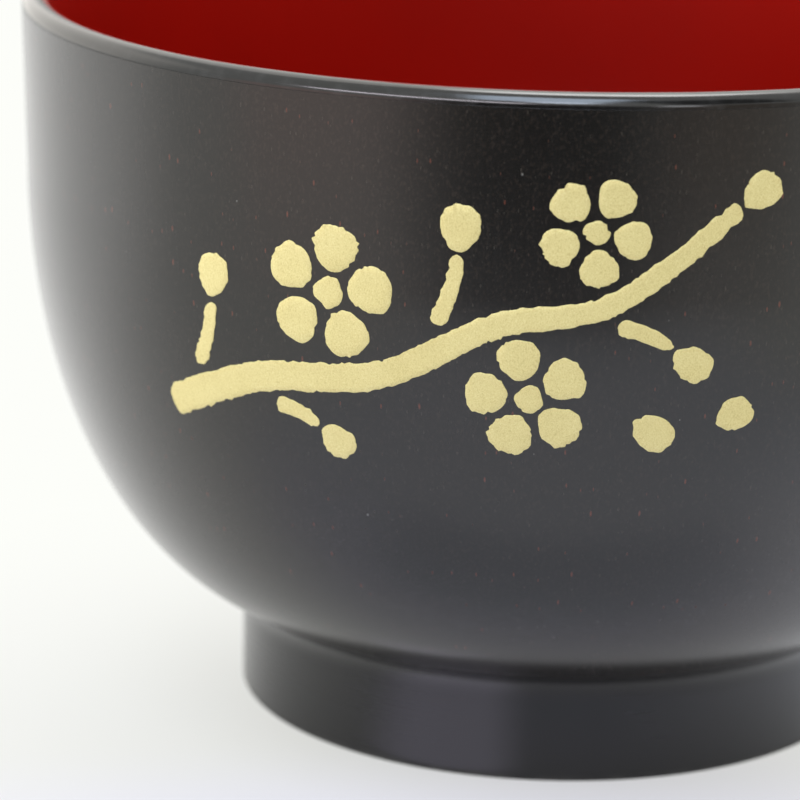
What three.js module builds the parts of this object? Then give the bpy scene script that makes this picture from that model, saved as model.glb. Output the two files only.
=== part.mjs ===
// A lacquered soup bowl: a moulded core on a foot ring, red inside, black outside, with a gilt blossom spray.
// Millimetres, +Z up. The bowl turns about Z, its foot stands on z = 0 and the spray faces -Y.
import * as THREE from "three";

// Outside form
const RIM_RADIUS = 54;
const HEIGHT = 71.7;
const STRAIGHT_WALL = 17.25; // height of the nearly upright band above the belly
const WALL_DRAFT = 1.5; // degrees that this band leans out
const BELLY_SINK = 1.36; // how far the belly's curve would bottom out below the foot's seam
const FOOT_RADIUS = 31.7;
const FOOT_HEIGHT = 11.41;
const FOOT_COVE = 3.78; // radius of the hollow sweep from the foot's side out to the seam
const COVE_TURN = 66.5; // degrees that this sweep turns, up to the slope of the belly
const FOOT_SETBACK = 0.1; // step from the end of the wall in to the end of the cove

// Walls and coats
const LIP_THICKNESS = 2.6; // full-round lip, and the wall under it
const FLOOR_THICKNESS = 3.2;
const FLOOR_FLAT = 20; // radius of the level middle of the inside
const FOOT_WALL = 3.4;
const FOOT_EDGE = 0.3; // chamfer along the foot's standing face
const BOSS_DEPTH = 2.51; // boss under the floor that centres the foot ring
const BOSS_CLEARANCE = 0.1;
const COAT = 0.3; // lacquer with its primer
const BOND = 0.05; // bond line under a coat and on the foot's seat
const GROOVE = 0.05; // fine open line between the lip's coat and the wall's coat
const RED_EDGE = 100; // degrees round the lip, from straight out, where the red begins

// Gilt spray: u runs round the wall to the right and v runs up, from the middle of the spray
const SPRAY_DROP = 20.2; // from the rim down to the middle of the spray
const FILM = 0.12;
const FILM_GAP = 0.08; // bond line under the film
const BRIDGE = 0.5; // bare wall left between neighbouring patches
const BRANCH_ROUTE = [[-30, -12.5], [-19, -8], [-7, -6.2], [3.5, -0.8], [14, 1.6], [25, 10]];
const BRANCH_ROOT_WIDTH = 3.2;
const BRANCH_TIP_WIDTH = 1.7;
const TWIG_ROOT_WIDTH = 1.7;
const TWIG_TIP_WIDTH = 1.2;
const TWIG_BEND = 0.7;
const PETALS = 5;
const PETAL_TAPER = 0.22; // how much broader a petal is at its outer end
const BUD_LENGTH = 1.2; // length of a bud against its width
const BLOSSOMS = [
  { at: 0.33, side: 1, radius: 6.2, turn: 8 },
  { at: 0.62, side: -1, radius: 5.6, turn: 30 },
  { at: 0.83, side: 1, radius: 5, turn: -12 },
];
const TWIGS = [
  { at: 0.1, side: 1, lean: 50, length: 6.5, bud: 1.7 },
  { at: 0.22, side: -1, lean: 30, length: 4.5, bud: 1.5 },
  { at: 0.52, side: 1, lean: 42, length: 6.5, bud: 1.8 },
  { at: 0.79, side: -1, lean: 46, length: 5.2, bud: 1.6 },
];
const TIP_BUD = 1.6;
const FALLEN_PETALS = [
  { u: 17.5, v: -10.5, turn: -35, half: 1.7 },
  { u: 25, v: -9, turn: 25, half: 1.5 },
];

// Fineness of the solids
const SEGMENTS = 60;
const BELLY_STEPS = 9;
const COVE_STEPS = 8;
const LIP_STEP = 18; // degrees
const BRANCH_STATIONS = 22;
const TWIG_STATIONS = 6;
const PETAL_STATIONS = 8;

const degrees = THREE.MathUtils.degToRad;
function finish(color, roughness, metalness = 0) {
  return new THREE.MeshStandardMaterial({ color, roughness, metalness });
}
const coreMaterial = finish(0x6a5644, 0.8);
const blackMaterial = finish(0x1d1b1a, 0.42);
const glossBlackMaterial = finish(0x141313, 0.18);
const redMaterial = finish(0x8e170f, 0.3);
const footMaterial = finish(0x1f1e1e, 0.4);
const giltMaterial = finish(0xe3d695, 0.55, 0.6);

const bowl = new THREE.Group();

function addMesh(name, geometry, material) {
  const mesh = new THREE.Mesh(geometry, material);
  mesh.name = name;
  bowl.add(mesh);
}

// Levels and radii that follow from the sizes above
const lipRadius = LIP_THICKNESS / 2;
const lipZ = HEIGHT - lipRadius;
const shoulderZ = HEIGHT - STRAIGHT_WALL;
const draftSlope = Math.tan(degrees(WALL_DRAFT));
const shoulderRadius = RIM_RADIUS - (lipZ - shoulderZ) * draftSlope;
const baseZ = FOOT_HEIGHT - BOSS_DEPTH;
const floorZ = baseZ + FLOOR_THICKNESS;
const boreRadius = FOOT_RADIUS - FOOT_WALL;
const bossRadius = boreRadius - BOSS_CLEARANCE;
const coatBack = COAT - BOND;
const coveReach = FOOT_COVE * (1 - Math.cos(degrees(COVE_TURN)));
const coveHeight = FOOT_COVE * Math.sin(degrees(COVE_TURN));
const seamRadius = FOOT_RADIUS + coveReach + FOOT_SETBACK;

// The belly is a quarter ellipse from the shoulder that stops at the foot's seam
const bellyDepth = shoulderZ - FOOT_HEIGHT + BELLY_SINK;
const seamAngle = Math.asin((shoulderZ - FOOT_HEIGHT) / bellyDepth);
const bellyWidth = (shoulderRadius - seamRadius) / (1 - Math.cos(seamAngle));

// The hollow is a quarter ellipse from the shoulder to the level floor
const hollowWidth = shoulderRadius - LIP_THICKNESS - FLOOR_FLAT;
const hollowDepth = shoulderZ - floorZ;

// The outside wall from the foot's seam up to the lip, at a depth under its finished surface
function outerWall(depth) {
  const points = [];
  for (let i = BELLY_STEPS; i >= 0; i--) {
    const t = (seamAngle * i) / BELLY_STEPS;
    const slope = (bellyWidth * Math.tan(t)) / bellyDepth;
    const radius = shoulderRadius - bellyWidth * (1 - Math.cos(t));
    points.push([radius - depth * Math.hypot(1, slope), shoulderZ - bellyDepth * Math.sin(t)]);
  }
  points.push([RIM_RADIUS - depth, lipZ]);
  return points;
}

// The inside wall from the lip down to the middle of the floor, at a depth under its finished surface
function innerWall(depth) {
  const points = [[RIM_RADIUS - LIP_THICKNESS + depth, lipZ]];
  for (let i = 0; i <= BELLY_STEPS; i++) {
    const t = ((Math.PI / 2) * i) / BELLY_STEPS;
    const out = hollowDepth * Math.cos(t);
    const down = hollowWidth * Math.sin(t);
    const length = Math.hypot(out, down);
    points.push([
      FLOOR_FLAT + hollowWidth * Math.cos(t) + (depth * out) / length,
      shoulderZ - hollowDepth * Math.sin(t) - (depth * down) / length,
    ]);
  }
  points.push([0, floorZ - depth]);
  return points;
}

// Part of the round lip, between two angles in degrees from straight out, at a depth under its surface
function lipArc(depth, from, to) {
  const steps = Math.ceil((to - from) / LIP_STEP);
  const points = [];
  for (let i = 0; i <= steps; i++) {
    const angle = degrees(from + ((to - from) * i) / steps);
    const reach = lipRadius - depth;
    points.push([RIM_RADIUS - lipRadius + reach * Math.cos(angle), lipZ + reach * Math.sin(angle)]);
  }
  return points;
}

// The foot's coved top, from its side out to the seam
function footCove() {
  const points = [];
  for (let i = 0; i <= COVE_STEPS; i++) {
    const angle = degrees((COVE_TURN * i) / COVE_STEPS);
    points.push([
      FOOT_RADIUS + FOOT_COVE * (1 - Math.cos(angle)),
      FOOT_HEIGHT - BOND - coveHeight + FOOT_COVE * Math.sin(angle),
    ]);
  }
  return points;
}

function turned(name, profile, material) {
  const points = profile.map(([radius, z]) => new THREE.Vector2(radius, z));
  const geometry = new THREE.LatheGeometry(points, SEGMENTS);
  geometry.rotateX(Math.PI / 2);
  addMesh(name, geometry, material);
}

// A ring between a finished outline and the back of its coat
function turnedRing(name, front, back, material) {
  turned(name, [...front, ...back.reverse(), front[0]], material);
}

turned(
  "bowl_core",
  [
    [0, baseZ + COAT],
    [bossRadius, baseZ + COAT],
    [bossRadius, FOOT_HEIGHT],
    ...outerWall(COAT),
    ...lipArc(COAT, 0, 180).slice(1, -1),
    ...innerWall(COAT),
  ],
  coreMaterial,
);

turned(
  "foot_ring",
  [
    [FOOT_RADIUS - FOOT_EDGE, 0],
    [FOOT_RADIUS, FOOT_EDGE],
    ...footCove(),
    [boreRadius, FOOT_HEIGHT - BOND],
    [boreRadius, FOOT_EDGE],
    [boreRadius + FOOT_EDGE, 0],
    [FOOT_RADIUS - FOOT_EDGE, 0],
  ],
  footMaterial,
);

turned(
  "base_lacquer",
  [
    [0, baseZ],
    [bossRadius, baseZ],
    [bossRadius, baseZ + coatBack],
    [0, baseZ + coatBack],
  ],
  blackMaterial,
);

turnedRing("outer_lacquer", outerWall(0), outerWall(coatBack), blackMaterial);

const grooveAngle = THREE.MathUtils.radToDeg(Math.asin(GROOVE / lipRadius));
turnedRing(
  "rim_lacquer",
  lipArc(0, grooveAngle, RED_EDGE),
  lipArc(coatBack, grooveAngle, RED_EDGE),
  glossBlackMaterial,
);

const redStart = RED_EDGE + THREE.MathUtils.radToDeg(BOND / lipRadius);
turned(
  "inner_lacquer",
  [
    ...innerWall(coatBack).reverse(),
    ...lipArc(coatBack, redStart, 180).reverse().slice(1),
    ...lipArc(0, redStart, 180),
    ...innerWall(0).slice(1),
  ],
  redMaterial,
);

// Radius and slope of the outside wall at a height
function wallAt(z) {
  if (z >= shoulderZ) {
    return { radius: shoulderRadius + (z - shoulderZ) * draftSlope, slope: draftSlope };
  }
  const t = Math.asin((shoulderZ - z) / bellyDepth);
  const radius = shoulderRadius - bellyWidth * (1 - Math.cos(t));
  return { radius, slope: (bellyWidth * Math.tan(t)) / bellyDepth };
}

// The point at (u, v) of the spray, lifted off the wall
function onWall(u, v, lift) {
  const z = HEIGHT - SPRAY_DROP + v;
  const { radius, slope } = wallAt(z);
  const angle = u / radius;
  const reach = radius + lift * Math.hypot(1, slope);
  return [reach * Math.sin(angle), -reach * Math.cos(angle), z];
}

// A patch of film: stations along it, each with a middle and half its width as a vector to the left
function gilt(name, stations) {
  const positions = [];
  for (const { middle, left } of stations) {
    for (const lift of [FILM_GAP + FILM, FILM_GAP]) {
      for (const share of [1, 0, -1]) {
        positions.push(...onWall(middle.x + share * left.x, middle.y + share * left.y, lift));
      }
    }
  }
  // The section's corners in order: the front from left to right, then the back from right to left
  const section = [0, 1, 2, 5, 4, 3];
  const corners = section.length;
  const index = [];
  const quad = (a, b, c, d) => index.push(a, b, c, a, c, d);
  for (let i = 0; i + 1 < stations.length; i++) {
    const here = corners * i;
    const there = here + corners;
    section.forEach((corner, k) => {
      const next = section[(k + 1) % corners];
      quad(here + corner, here + next, there + next, there + corner);
    });
  }
  const last = corners * (stations.length - 1);
  quad(0, 3, 4, 1);
  quad(1, 4, 5, 2);
  quad(last, last + 1, last + 4, last + 3);
  quad(last + 1, last + 2, last + 5, last + 4);
  const geometry = new THREE.BufferGeometry();
  geometry.setAttribute("position", new THREE.Float32BufferAttribute(positions, 3));
  geometry.setIndex(index);
  geometry.computeVertexNormals();
  addMesh(name, geometry, giltMaterial);
}

const leftOf = (direction) => new THREE.Vector2(-direction.y, direction.x);
const pointing = (angle) => new THREE.Vector2(Math.cos(angle), Math.sin(angle));

// A brush stroke along a curve, whose half width changes from its start to its end
function giltStroke(name, curve, startHalf, endHalf, count) {
  const stations = [];
  for (let i = 0; i < count; i++) {
    const t = i / (count - 1);
    const half = THREE.MathUtils.lerp(startHalf, endHalf, t);
    stations.push({ middle: curve.getPoint(t), left: leftOf(curve.getTangent(t)).multiplyScalar(half) });
  }
  gilt(name, stations);
}

// A petal or bud: a round patch, a little broader at its outer end
function giltPetal(name, centre, direction, halfLength, halfWidth) {
  const stations = [];
  for (let i = 0; i < PETAL_STATIONS; i++) {
    const along = -Math.cos((Math.PI * (i + 0.5)) / PETAL_STATIONS);
    const half = halfWidth * Math.sqrt(1 - along * along) * (1 + PETAL_TAPER * along);
    stations.push({
      middle: centre.clone().addScaledVector(direction, halfLength * along),
      left: leftOf(direction).multiplyScalar(half),
    });
  }
  gilt(name, stations);
}

// A bud just past the end of what carries it
function giltBud(name, end, direction, half) {
  const halfLength = half * BUD_LENGTH;
  const centre = end.clone().addScaledVector(direction, BRIDGE + halfLength);
  giltPetal(name, centre, direction, halfLength, half);
}

const branch = new THREE.SplineCurve(BRANCH_ROUTE.map(([u, v]) => new THREE.Vector2(u, v)));
const branchHalf = (at) => THREE.MathUtils.lerp(BRANCH_ROOT_WIDTH, BRANCH_TIP_WIDTH, at) / 2;

// The point beside the branch where a blossom or a twig is seated, and the directions there
function seat({ at, side }) {
  const along = branch.getTangent(at);
  const out = leftOf(along).multiplyScalar(side);
  const point = branch.getPoint(at).addScaledVector(out, branchHalf(at) + BRIDGE);
  return { along, out, point };
}

giltStroke("gilt_branch", branch, branchHalf(0), branchHalf(1), BRANCH_STATIONS);
giltBud("gilt_bud_tip", branch.getPoint(1), branch.getTangent(1), TIP_BUD);

TWIGS.forEach((twig, i) => {
  const { along, out, point } = seat(twig);
  const lean = degrees(twig.lean);
  const direction = pointing(along.angle() + twig.side * lean);
  // The twig's near corner, not its middle, keeps the bridge to the branch
  const start = point.addScaledVector(out, (TWIG_ROOT_WIDTH / 2) * Math.cos(lean));
  const end = start.clone().addScaledVector(direction, twig.length);
  const bend = leftOf(direction).multiplyScalar(-twig.side * TWIG_BEND);
  const middle = start.clone().lerp(end, 0.5).add(bend);
  const curve = new THREE.QuadraticBezierCurve(start, middle, end);
  giltStroke(`gilt_twig_${i + 1}`, curve, TWIG_ROOT_WIDTH / 2, TWIG_TIP_WIDTH / 2, TWIG_STATIONS);
  giltBud(`gilt_bud_${i + 1}`, end, curve.getTangent(1), twig.bud);
});

BLOSSOMS.forEach((blossom, i) => {
  const { out, point } = seat(blossom);
  const centre = point.addScaledVector(out, blossom.radius);
  // Round petals that touch the blossom's rim and leave a bridge to each other
  const share = Math.sin(Math.PI / PETALS);
  const petalHalf = (blossom.radius * share - BRIDGE / 2) / (1 + share);
  const reach = blossom.radius - petalHalf;
  for (let k = 0; k < PETALS; k++) {
    const direction = pointing(degrees(blossom.turn) + (2 * Math.PI * k) / PETALS);
    const middle = centre.clone().addScaledVector(direction, reach);
    giltPetal(`gilt_blossom_${i + 1}_petal_${k + 1}`, middle, direction, petalHalf, petalHalf);
  }
  const heart = reach - petalHalf - BRIDGE;
  giltPetal(`gilt_blossom_${i + 1}_heart`, centre, pointing(0), heart, heart);
});

FALLEN_PETALS.forEach(({ u, v, turn, half }, i) => {
  const centre = new THREE.Vector2(u, v);
  giltPetal(`gilt_fallen_petal_${i + 1}`, centre, pointing(degrees(turn)), half * BUD_LENGTH, half);
});

export default bowl;
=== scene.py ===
"""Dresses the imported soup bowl: turned lacquer coats, a worn gilt spray, a pale floor and soft light."""
import math
import random
from typing import NamedTuple

import bpy
from bpy.props import FloatProperty, FloatVectorProperty, IntProperty, PointerProperty
from mathutils import Matrix, Vector


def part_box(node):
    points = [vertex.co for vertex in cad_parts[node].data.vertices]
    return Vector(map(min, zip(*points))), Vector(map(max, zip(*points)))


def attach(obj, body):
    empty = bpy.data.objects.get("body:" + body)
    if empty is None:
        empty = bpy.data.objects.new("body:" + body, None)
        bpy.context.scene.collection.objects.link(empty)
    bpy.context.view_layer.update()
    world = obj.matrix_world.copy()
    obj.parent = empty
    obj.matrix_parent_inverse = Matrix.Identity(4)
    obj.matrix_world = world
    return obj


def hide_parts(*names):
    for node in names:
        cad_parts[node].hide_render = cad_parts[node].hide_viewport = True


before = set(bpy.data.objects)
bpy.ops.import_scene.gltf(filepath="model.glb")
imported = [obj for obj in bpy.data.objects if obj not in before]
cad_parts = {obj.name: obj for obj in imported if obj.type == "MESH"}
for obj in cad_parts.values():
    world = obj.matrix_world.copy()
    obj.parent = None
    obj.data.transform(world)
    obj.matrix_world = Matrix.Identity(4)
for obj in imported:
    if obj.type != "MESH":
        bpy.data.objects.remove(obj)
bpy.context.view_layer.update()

bl_info = {
    "name": "Lacquered Soup Bowl",
    "version": (1, 0, 0),
    "blender": (4, 5, 0),
    "location": "View3D > Sidebar > Soup Bowl",
    "description": "Builds the coats, foot, gilt spray and stage of a footed lacquered soup bowl",
    "category": "Add Mesh",
}

BODY = "root"

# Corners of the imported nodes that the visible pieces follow
wall_low, wall_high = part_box("outer_lacquer")
lip_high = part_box("rim_lacquer")[1]
base_low, base_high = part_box("base_lacquer")

# The branch runs through these places of the spray: u round the wall to the right, v up, in metres
BRANCH_ROUTE = (
    (-0.030, -0.0125),
    (-0.019, -0.0080),
    (-0.007, -0.0062),
    (0.0035, -0.0008),
    (0.0140, 0.0016),
    (0.0250, 0.0100),
)
# Share of the branch, side of it, radius, and turn in degrees
BLOSSOMS = (
    (0.33, 1, 0.0062, 8),
    (0.62, -1, 0.0056, 30),
    (0.83, 1, 0.0050, -12),
)
# Share of the branch, side of it, lean in degrees, length, and half width of the bud
TWIGS = (
    (0.10, 1, 50, 0.0065, 0.0017),
    (0.22, -1, 30, 0.0045, 0.0015),
    (0.52, 1, 42, 0.0065, 0.0018),
    (0.79, -1, 46, 0.0052, 0.0016),
)
# Place, turn in degrees, and half width
FALLEN_PETALS = (
    ((0.0175, -0.0105), -35, 0.0017),
    ((0.0250, -0.0090), 25, 0.0015),
)
PETALS = 5

# Width of the camera's sensor, in millimetres
SENSOR_WIDTH = 36.0


def length(name, description, default):
    """A size in metres that a user can change."""
    return FloatProperty(
        name=name, description=description, default=default, min=0.0, unit="LENGTH", precision=5
    )


def turn(name, description, degrees):
    """An angle that a user can change, with its default in degrees."""
    return FloatProperty(name=name, description=description, default=math.radians(degrees), subtype="ANGLE")


def amount(name, description, default):
    """A plain number that a user can change."""
    return FloatProperty(name=name, description=description, default=default, min=0.0)


def count(name, description, default):
    """A whole number that a user can change."""
    return IntProperty(name=name, description=description, default=default, min=3)


def spot(name, description, default):
    """A place in metres that a user can change."""
    return FloatVectorProperty(
        name=name,
        description=description,
        default=default,
        subtype="TRANSLATION",
        unit="LENGTH",
        precision=5,
    )


def tint(name, description, default):
    """A colour that a user can change, in linear light."""
    return FloatVectorProperty(
        name=name, description=description, default=default, size=3, subtype="COLOR", min=0.0, max=1.0
    )


class BowlForm(bpy.types.PropertyGroup):
    """Sizes of the turned pieces."""

    rim_radius: length("Rim Radius", "Outer radius at the lip", wall_high.x)
    height: length("Height", "From the floor to the top of the lip", lip_high.z)
    straight_wall: length("Straight Wall", "Height of the nearly upright band above the belly", 0.01725)
    wall_draft: turn("Wall Draft", "Lean of the upright band", 1.5)
    belly_sink: length("Belly Sink", "How far the belly's curve would bottom out below the seam", 0.00136)
    foot_radius: length("Foot Radius", "Outer radius of the foot ring", 0.0317)
    foot_height: length("Foot Height", "Height of the seam above the foot ring", wall_low.z)
    foot_cove: length("Foot Cove", "Radius of the hollow sweep from the foot's side to the seam", 0.00378)
    cove_turn: turn("Cove Turn", "Angle that this sweep turns, up to the belly's slope", 66.5)
    foot_setback: length("Foot Setback", "Step from the wall's end in to the cove's end", 0.0001)
    foot_wall: length("Foot Wall", "Thickness of the foot ring", 0.0034)
    foot_edge: length("Foot Edge", "Rounding of the foot's standing edges", 0.0003)
    seam_edge: length("Seam Edge", "Rounding of the foot's upper edges", 0.00006)
    seat_gap: length("Seat Gap", "Bond line over the foot ring", 0.00005)
    lip_thickness: length("Lip Thickness", "Thickness of the full-round lip and the wall under it", 0.0026)
    floor_thickness: length("Floor Thickness", "Thickness of the bowl's floor", 0.0032)
    floor_flat: length("Floor Flat", "Radius of the level middle of the inside", 0.020)
    base_level: length("Base Level", "Height of the underside inside the foot ring", base_low.z)
    base_radius: length("Base Radius", "Radius of the boss inside the foot ring", base_high.x)
    coat: length("Coat", "Depth of the core under the lacquer", 0.0003)
    bond: length("Bond", "Bond line under a coat", 0.00005)
    coat_edge: length("Coat Edge", "Rounding of a coat's edges", 0.000018)
    groove: length("Groove", "Open line between the lip's coat and the wall's coat", 0.000016)
    red_edge: turn("Red Edge", "Where the red begins, round the lip from straight out", 100)
    segments: count("Segments", "Steps round the bowl", 288)
    wall_steps: count("Wall Steps", "Steps down a curved wall", 56)
    lip_steps: count("Lip Steps", "Steps round the lip", 40)
    cove_steps: count("Cove Steps", "Steps up the foot's cove", 16)


class SprayForm(bpy.types.PropertyGroup):
    """Sizes of the gilt spray."""

    drop: length("Drop", "From the rim down to the middle of the spray", 0.0202)
    film: length("Film", "Thickness of the gilding", 0.00006)
    film_gap: length("Film Gap", "Bond line under the gilding", 0.00001)
    bevel: length("Bevel", "Width of the gilding's rounded margin", 0.00005)
    bridge: length("Bridge", "Bare wall left between neighbouring patches", 0.0005)
    branch_root: length("Branch Root", "Width of the branch at its start", 0.0032)
    branch_tip: length("Branch Tip", "Width of the branch at its end", 0.0017)
    twig_root: length("Twig Root", "Width of a twig at its start", 0.0017)
    twig_tip: length("Twig Tip", "Width of a twig at its end", 0.0012)
    twig_bend: length("Twig Bend", "Sideways bow of a twig", 0.0007)
    tip_bud: length("Tip Bud", "Half width of the bud at the branch's end", 0.0016)
    petal_taper: amount("Petal Taper", "How much broader a petal is at its outer end", 0.22)
    bud_length: amount("Bud Length", "Length of a bud against its width", 1.2)
    chip_depth: length("Chip Depth", "How far the worn edge wanders in and out", 0.00013)
    chip_length: length("Chip Length", "Usual distance between the worn edge's corners", 0.00042)
    fray: length("Fray", "Finest roughness of the worn edge", 0.000014)
    edge_step: length("Edge Step", "Distance between the edge's points", 0.00008)


class BowlFinish(bpy.types.PropertyGroup):
    """Colours of the finishes, in linear light."""

    wall: tint("Wall", "Satin black lacquer of the outside", (0.0044, 0.0040, 0.0033))
    wall_warm: tint("Wall Warmth", "Warmer drift of the outside lacquer", (0.0070, 0.0050, 0.0037))
    wall_grain: tint("Wall Grain", "Fine grain of the outside lacquer", (0.0175, 0.0128, 0.0098))
    red_speck: tint("Red Speck", "Red specks in the outside lacquer", (0.110, 0.030, 0.018))
    pale_speck: tint("Pale Speck", "Pale specks in the outside lacquer", (0.060, 0.052, 0.043))
    dust: tint("Dust", "Dust on the outside", (0.14, 0.14, 0.133))
    lip: tint("Lip", "Gloss black lacquer of the lip", (0.0075, 0.0075, 0.0078))
    lip_haze: tint("Lip Haze", "Polishing haze on the lip", (0.020, 0.020, 0.021))
    overspray: tint("Overspray", "Red dust of lacquer along the lip's top", (0.150, 0.0040, 0.0020))
    red: tint("Red", "Red lacquer of the inside", (0.362, 0.0050, 0.0014))
    red_deep: tint("Deep Red", "Deeper drift of the red lacquer", (0.322, 0.0042, 0.0011))
    foot: tint("Foot", "Black lacquer of the foot", (0.0056, 0.0055, 0.0062))
    foot_wear: tint("Foot Wear", "Rubbed lacquer along the standing edge", (0.040, 0.039, 0.038))
    core: tint("Core", "Wood-flour resin of the core", (0.140, 0.093, 0.058))
    core_fleck: tint("Core Fleck", "Wood flour in the resin", (0.235, 0.165, 0.105))
    gilt: tint("Gilt", "Middle tone of the gilding", (0.785, 0.682, 0.305))
    gilt_pale: tint("Pale Gilt", "Bright grains of the gilding", (0.880, 0.790, 0.405))
    gilt_deep: tint("Deep Gilt", "Dull grains of the gilding", (0.665, 0.560, 0.225))


class BowlStage(bpy.types.PropertyGroup):
    """Camera, floor and light."""

    heading: turn("Heading", "Turn of the camera and the lights about the bowl", 12)
    camera_place: spot(
        "Camera Place", "The camera before it is turned to its heading", (-0.01587, -0.38286, 0.13567)
    )
    camera_pitch: turn("Camera Pitch", "How far the camera looks down", 15.55)
    camera_roll: turn("Camera Roll", "Tilt of the camera about its own axis", 1.02)
    focal_length: FloatProperty(
        name="Focal Length",
        description=f"On a sensor {SENSOR_WIDTH:g} mm wide",
        default=174.69,
        min=1.0,
        unit="CAMERA",
    )
    focus_reach: length("Focus", "From the foot's middle towards the camera to the sharpest point", 0.061)
    f_number: amount("F-Number", "Opening of the camera", 32.0)
    floor_colour: tint("Floor", "Pale floor", (0.67, 0.66, 0.66))
    # Painted cool blue shade on the floor in front of the bowl: in the paper's colour and in the white that
    # the floor shows there
    front_shade_colour: tint("Floor in Front", "Pale floor in front of the bowl", (0.68, 0.67, 0.94))
    front_shade_white: tint("Near White", "White that the floor shows in front", (0.955, 0.950, 1.0))
    fade_centre: spot("Fade Centre", "Where on the floor its fade spreads from", (-0.0064, -0.0422, 0.0))
    backdrop_colour: tint("Backdrop", "White that the floor fades to", (0.982, 0.990, 0.950))
    fade_start: length("Fade Start", "From the fade's centre to where the floor begins to fade", 0.014)
    fade_end: length("Fade End", "From the fade's centre to where the floor is all backdrop", 0.105)
    fade_least: amount("Least Fade", "Share of white in the floor next to the foot", 0.52)
    world_light: amount("World Light", "Light from all round", 0.78)
    top_light: amount("Top Light", "Radiance of the box over the front", 4.9)
    left_light: amount("Left Light", "Radiance of the box on the left", 2.35)
    right_light: amount("Right Light", "Radiance of the box on the right", 0.35)
    back_light: amount("Back Light", "Radiance of the box behind", 2.2)


class Nodes:
    """A shader's node tree, filled from Python."""

    def __init__(self, tree):
        self.tree = tree
        tree.nodes.clear()

    def add(self, kind, settings=None, sockets=None, output=0):
        """Adds a node with its settings and its sockets' values or links, and gives one of its outputs."""
        node = self.tree.nodes.new(kind)
        for name, value in (settings or {}).items():
            setattr(node, name, value)
        for name, value in (sockets or {}).items():
            socket = node.inputs[name]
            if isinstance(value, Wire):
                self.tree.links.new(value.socket, socket)
            else:
                socket.default_value = value
        if len(node.outputs) == 0:
            return None
        return Wire(self, node.outputs[output])


class Wire:
    """A shader socket that takes part in Python arithmetic: each operation on values adds a Math node."""

    def __init__(self, nodes, socket):
        self.nodes = nodes
        self.socket = socket

    def maths(self, operation, first, second):
        return self.nodes.add("ShaderNodeMath", {"operation": operation}, {0: first, 1: second})

    def __add__(self, other):
        return self.maths("ADD", self, other)

    def __radd__(self, other):
        return self.maths("ADD", other, self)

    def __sub__(self, other):
        return self.maths("SUBTRACT", self, other)

    def __rsub__(self, other):
        return self.maths("SUBTRACT", other, self)

    def __mul__(self, other):
        return self.maths("MULTIPLY", self, other)

    def __rmul__(self, other):
        return self.maths("MULTIPLY", other, self)

    def __gt__(self, other):
        return self.maths("GREATER_THAN", self, other)

    def __lt__(self, other):
        return self.maths("LESS_THAN", self, other)


class Lacquer:
    """A material under way: its nodes, and the textures that the finishes share."""

    # A speck's random number is taken from this and scales its distances, so that specks differ in size
    SPECK_SPREAD = 1.5
    # Share of a speck's size within which it covers fully
    SPECK_CORE = 0.45

    def __init__(self, name):
        self.material = bpy.data.materials.new(name)
        self.material.use_nodes = True
        self.nodes = Nodes(self.material.node_tree)
        self.place = self.nodes.add("ShaderNodeTexCoord", output="Object")

    def stretched(self, scale):
        """The place on the piece, scaled along X, Y and Z."""
        return self.nodes.add("ShaderNodeVectorMath", {"operation": "MULTIPLY"}, {0: self.place, 1: scale})

    def along(self, axis):
        """The place along one axis, in metres."""
        return self.nodes.add("ShaderNodeSeparateXYZ", sockets={0: self.place}, output=axis)

    def from_axis(self):
        """The distance from the bowl's axis, in metres."""
        flat = self.stretched((1.0, 1.0, 0.0))
        return self.nodes.add("ShaderNodeVectorMath", {"operation": "LENGTH"}, {0: flat}, "Value")

    def unrolled(self, radius, upright):
        """The place on the wall rolled out flat, with heights scaled."""
        around = self.nodes.add(
            "ShaderNodeMath", {"operation": "ARCTAN2"}, {0: self.along("X"), 1: 0.0 - self.along("Y")}
        )
        return self.nodes.add(
            "ShaderNodeCombineXYZ", sockets={"X": around * radius, "Y": self.along("Z") * upright}
        )

    def noise(self, scale, detail=2.0, vector=None):
        """Soft noise from 0 to 1, with scale in grains a metre."""
        sockets = {"Vector": vector or self.place, "Scale": scale, "Detail": detail}
        return self.nodes.add("ShaderNodeTexNoise", sockets=sockets)

    def ramp(self, value, start, end):
        """A smooth step of a value, from 0 at the start to 1 at the end."""
        sockets = {"Value": value, "From Min": start, "From Max": end}
        return self.nodes.add("ShaderNodeMapRange", {"interpolation_type": "SMOOTHSTEP"}, sockets)

    def mix(self, share, first, second):
        """Two colours mixed by a share."""
        sockets = {0: share, 6: rgba(first), 7: rgba(second)}
        return self.nodes.add("ShaderNodeMix", {"data_type": "RGBA"}, sockets, output=2)

    def specks(self, vector, scale, size, keep):
        """Scattered specks: how far each covers the place, and a random number of its own."""
        settings = {"voronoi_dimensions": "2D", "feature": "F1"}
        sockets = {"Vector": vector, "Scale": scale}
        distance = self.nodes.add("ShaderNodeTexVoronoi", settings, sockets, "Distance")
        colour = self.nodes.add("ShaderNodeTexVoronoi", settings, sockets, "Color")
        lot = self.nodes.add("ShaderNodeSeparateColor", sockets={0: colour}, output=0)
        other = self.nodes.add("ShaderNodeSeparateColor", sockets={0: colour}, output=1)
        cover = self.ramp(distance * (self.SPECK_SPREAD - other), size, size * self.SPECK_CORE)
        return cover * (lot < keep), other

    def bump(self, height):
        """The normal of a surface with this height, in metres."""
        return self.nodes.add("ShaderNodeBump", sockets={"Strength": 1.0, "Distance": 1.0, "Height": height})

    def finish(self, colour, roughness, normal, **constants):
        """Ends the material in a Principled shader, and gives it back."""
        sockets = {"Base Color": colour, "Roughness": roughness, "Normal": normal, **constants}
        shader = self.nodes.add("ShaderNodeBsdfPrincipled", sockets=sockets)
        self.nodes.add("ShaderNodeOutputMaterial", sockets={"Surface": shader})
        return self.material


def rgba(colour):
    """A colour for a colour socket: a link as it is, or three numbers with an alpha of one."""
    return colour if isinstance(colour, Wire) else (*colour, 1.0)


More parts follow.
